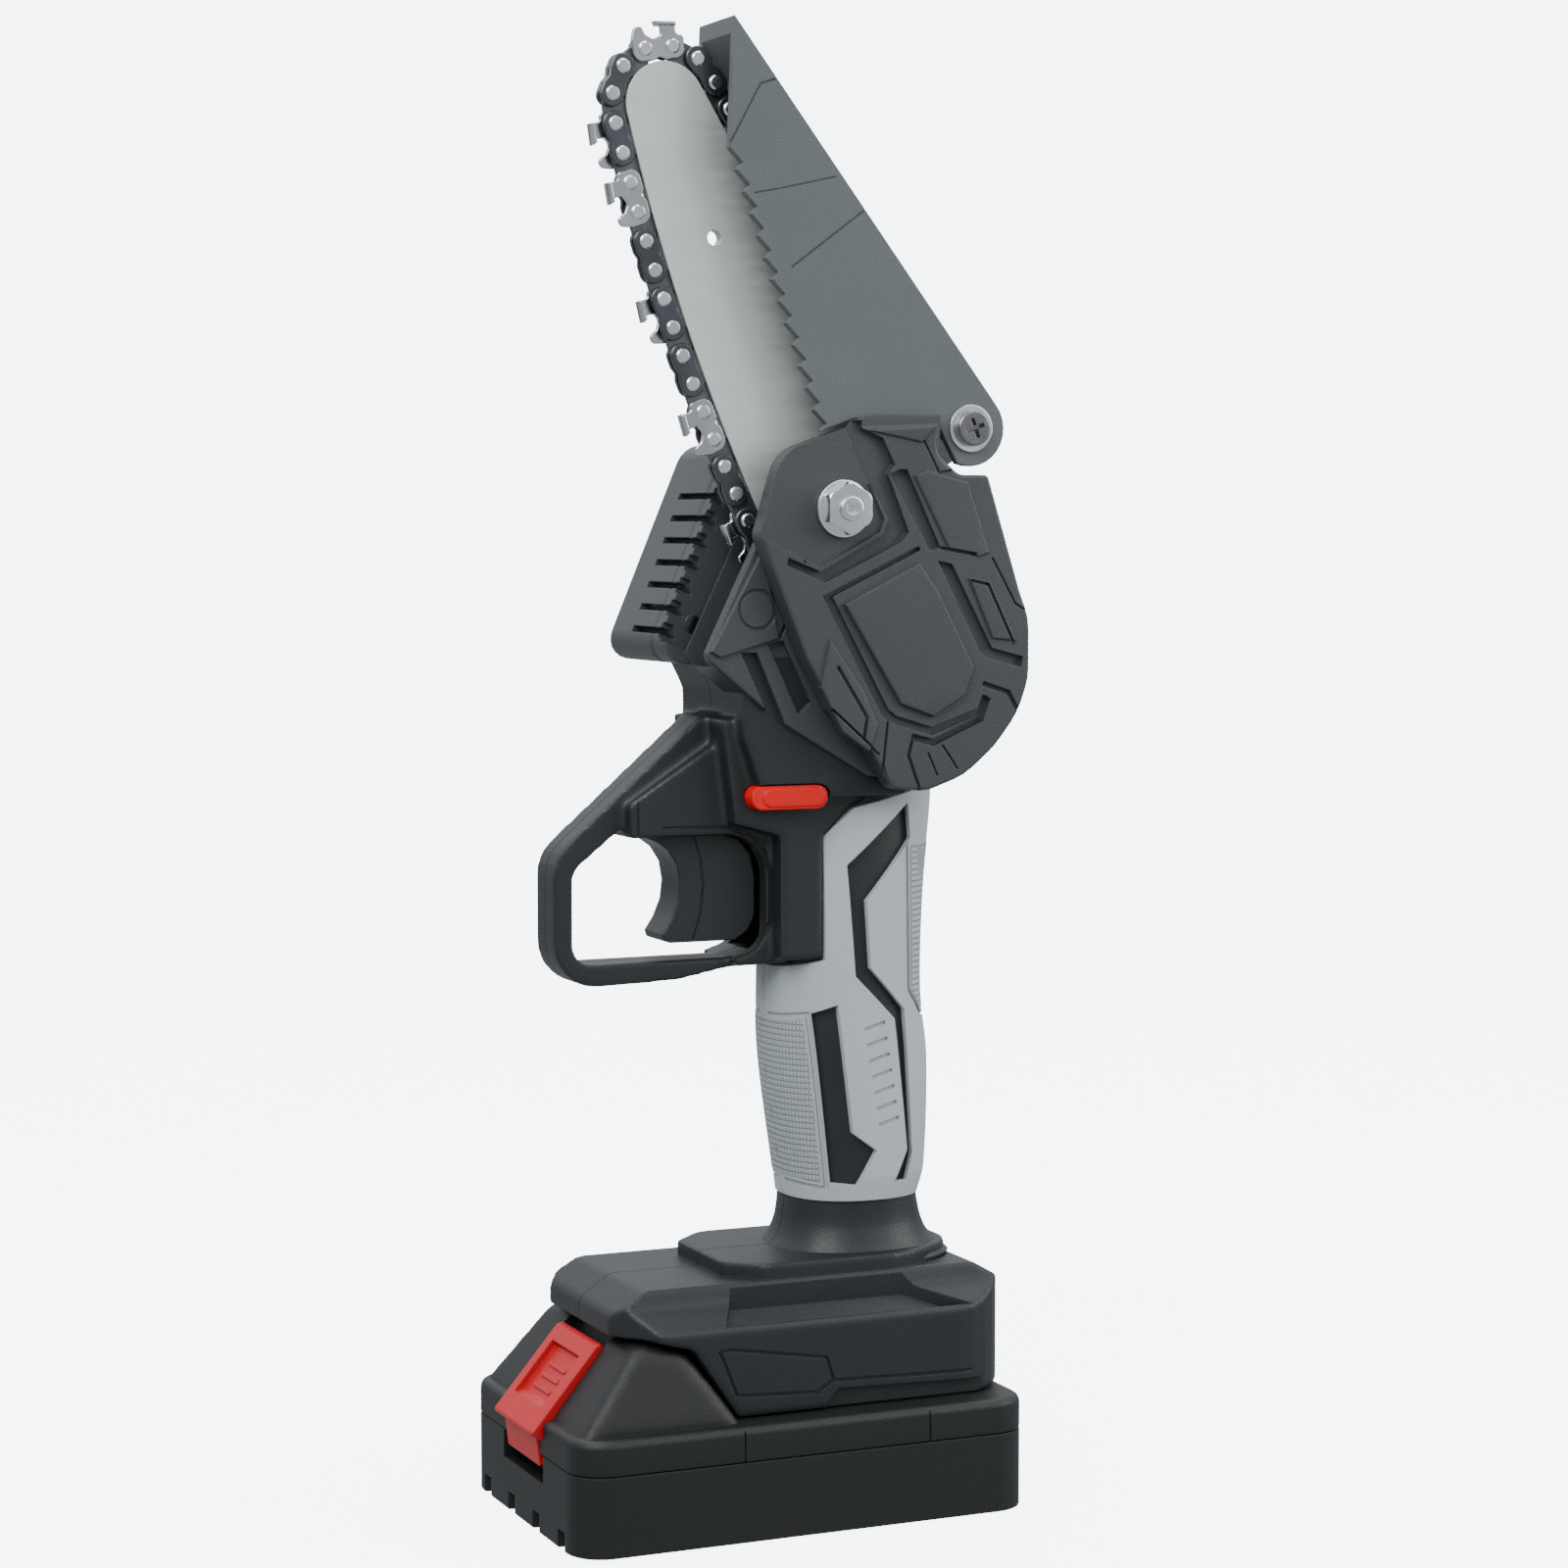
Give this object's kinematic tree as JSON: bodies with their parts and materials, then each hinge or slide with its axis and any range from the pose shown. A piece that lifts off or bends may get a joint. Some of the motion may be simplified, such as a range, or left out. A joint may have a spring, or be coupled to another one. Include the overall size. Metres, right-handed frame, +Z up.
{
  "type": "chainsaw",
  "caption": "Cordless one-hand pruning chainsaw: leaning guide bar with chain under a hinged guard, pistol grip, slide-on battery pack.",
  "frame": {"origin": "centre of the battery pack's underside", "axes": "+Z up along the grip, -X towards the trigger guard and battery latch, -Y towards the sprocket cover, +Y towards the motor"},
  "size_m": [0.1125, 0.1005, 0.3253],
  "materials": {
    "black_plastic": "fine texture",
    "dark_plastic": "matt",
    "grey_rubber": "soft grip",
    "red_plastic": "satin",
    "bar_steel": "satin",
    "chain_steel": "polished cutters, blued straps",
    "zinc": "zinc plated",
    "black_nickel": "black nickel plated",
    "gear_steel": "ground",
    "copper": "copper winding and contacts",
    "cell_wrap": "shrink sleeve",
    "board": "solder mask",
    "lead_red": "insulation"
  },
  "bodies": {
    "body": {"left_housing": "black_plastic", "right_housing": "black_plastic", "motor_end_cap": "black_plastic", "sprocket_cover": "black_plastic", "switch_block": "dark_plastic", "terminal_block": "dark_plastic", "motor_end_bell": "dark_plastic", "battery_lead_2": "dark_plastic", "left_grip": "grey_rubber", "right_grip": "grey_rubber", "guide_bar": "bar_steel", "bar_stud": "zinc", "cover_nut": "zinc", "guard_nut": "zinc", "front_bearing": "zinc", "rear_bearing": "zinc", "motor_can": "zinc", "guard_screw": "black_nickel", "housing_screw_1": "black_nickel", "housing_screw_2": "black_nickel", "housing_screw_3": "black_nickel", "housing_screw_4": "black_nickel", "cap_screw_1": "black_nickel", "cap_screw_2": "black_nickel", "gear_plate": "gear_steel", "guard_spring": "gear_steel", "trigger_spring": "gear_steel", "terminal_blade_1": "copper", "terminal_blade_2": "copper", "terminal_blade_3": "copper", "battery_lead_1": "lead_red"},
    "guard": {"chain_guard": "black_plastic"},
    "trigger_unit": {"trigger": "dark_plastic", "switch_plunger": "dark_plastic"},
    "lock": {"lock_button": "red_plastic"},
    "wheel": {"sprocket_shaft": "gear_steel", "drive_sprocket": "gear_steel", "sprocket_clip": "zinc", "drive_gear": "gear_steel", "chain_wrap": "chain_steel"},
    "rotor": {"motor_shaft": "gear_steel", "motor_armature": "copper", "pinion": "gear_steel"},
    "front_run": {"chain_front": "chain_steel"},
    "back_run": {"chain_back": "chain_steel"},
    "nose_turn": {"chain_nose": "chain_steel"},
    "battery": {"battery_tray": "black_plastic", "battery_top": "black_plastic", "cell_board": "board", "latch_spring": "gear_steel", "cell_1": "cell_wrap", "cell_2": "cell_wrap", "cell_3": "cell_wrap", "cell_4": "cell_wrap", "cell_5": "cell_wrap", "battery_screw_1": "black_nickel", "battery_screw_2": "black_nickel", "battery_screw_3": "black_nickel", "battery_screw_4": "black_nickel"},
    "latch": {"latch_button": "red_plastic"}
  },
  "joints": [
    {"name": "guard_hinge", "type": "hinge", "parent": "body", "child": "guard", "pos_m": [0.043, -0.014, 0.2392], "axis": [0, 1, 0], "range_deg": [0, 60], "stiffness_Nm_per_rad": 0.03, "springref_deg": -17.19},
    {"name": "trigger_slide", "type": "slide", "parent": "body", "child": "trigger_unit", "axis": [1, 0, 0], "range_m": [0, 0.0065], "stiffness_N_per_m": 400, "springref_m": -0.004, "deforming": ["trigger_spring"]},
    {"name": "lock_slide", "type": "slide", "parent": "body", "child": "lock", "axis": [0, 1, 0], "range_m": [0, 0.004], "stiffness_N_per_m": 300, "springref_m": -0.002},
    {"name": "sprocket_spin", "type": "hinge", "parent": "body", "child": "wheel", "pos_m": [0.02622, -0.014, 0.18497], "axis": [0, -1, 0], "range_deg": [-9, 9]},
    {"name": "motor_spin", "type": "hinge", "parent": "body", "child": "rotor", "pos_m": [0.02203, 0.0153, 0.20452], "axis": [0, -1, 0], "range_deg": [-37, 37]},
    {"name": "front_run_slide", "type": "slide", "parent": "body", "child": "front_run", "axis": [0.3875, 0, -0.9219], "range_m": [-0.002, 0.002]},
    {"name": "back_run_slide", "type": "slide", "parent": "body", "child": "back_run", "axis": [-0.3875, 0, 0.9219], "range_m": [-0.002, 0.002]},
    {"name": "nose_turn_spin", "type": "hinge", "parent": "body", "child": "nose_turn", "pos_m": [-0.0252, -0.014, 0.3073], "axis": [0, -1, 0], "range_deg": [-9.5, 9.5]},
    {"name": "battery_slide", "type": "slide", "parent": "body", "child": "battery", "axis": [-1, 0, 0], "range_m": [0, 0.11]},
    {"name": "latch_slide", "type": "slide", "parent": "battery", "child": "latch", "axis": [-0.6799, 0, -0.7333], "range_m": [0, 0.003], "stiffness_N_per_m": 500, "springref_m": -0.002, "deforming": ["latch_spring"]}
  ],
  "couplings": [
    {"joint": "motor_spin", "follows": "sprocket_spin", "ratio": -4},
    {"joint": "front_run_slide", "follows": "sprocket_spin", "m_per_rad": 0.0123},
    {"joint": "back_run_slide", "follows": "sprocket_spin", "m_per_rad": 0.0123},
    {"joint": "nose_turn_spin", "follows": "sprocket_spin", "ratio": 1}
  ]
}
